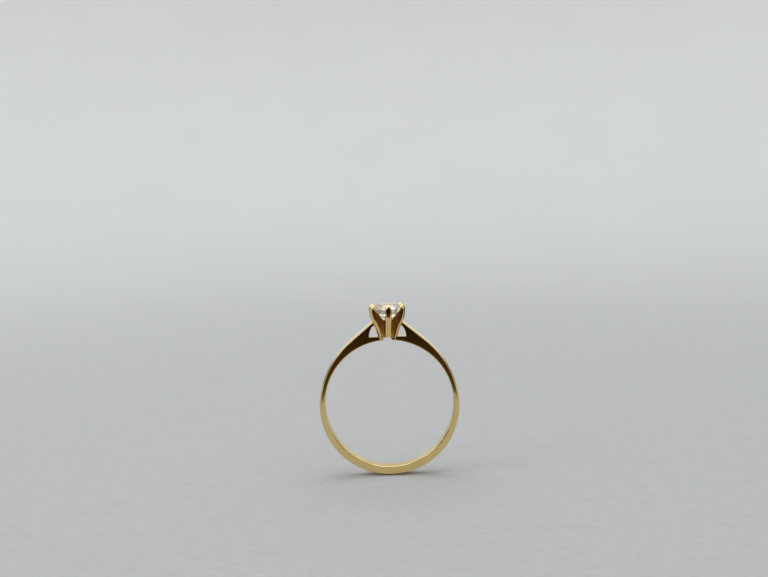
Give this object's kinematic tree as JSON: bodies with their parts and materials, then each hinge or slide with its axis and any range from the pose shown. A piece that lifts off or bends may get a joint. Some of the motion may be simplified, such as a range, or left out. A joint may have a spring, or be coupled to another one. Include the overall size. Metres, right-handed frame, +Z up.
{
  "type": "engagement ring",
  "caption": "Yellow-gold solitaire ring: slim domed band, cathedral shoulders with open windows, tulip claw head and a round brilliant stone.",
  "frame": {"origin": "centre of the finger hole, midway along the finger", "axes": "+Y runs along the finger hole, +Z points up through the middle of the stone, +X is to the right seen from the front"},
  "size_m": [0.0186, 0.005, 0.0228],
  "materials": {
    "yellow_gold": "polished",
    "brilliant_stone": "faceted and polished"
  },
  "bodies": {
    "root": {"shank": "yellow_gold", "left_shoulder": "yellow_gold", "right_shoulder": "yellow_gold", "left_bridge_rail": "yellow_gold", "right_bridge_rail": "yellow_gold", "head_collet": "yellow_gold", "front_claw": "yellow_gold", "front_right_claw": "yellow_gold", "back_right_claw": "yellow_gold", "back_claw": "yellow_gold", "back_left_claw": "yellow_gold", "front_left_claw": "yellow_gold", "centre_stone": "brilliant_stone"}
  },
  "joints": []
}
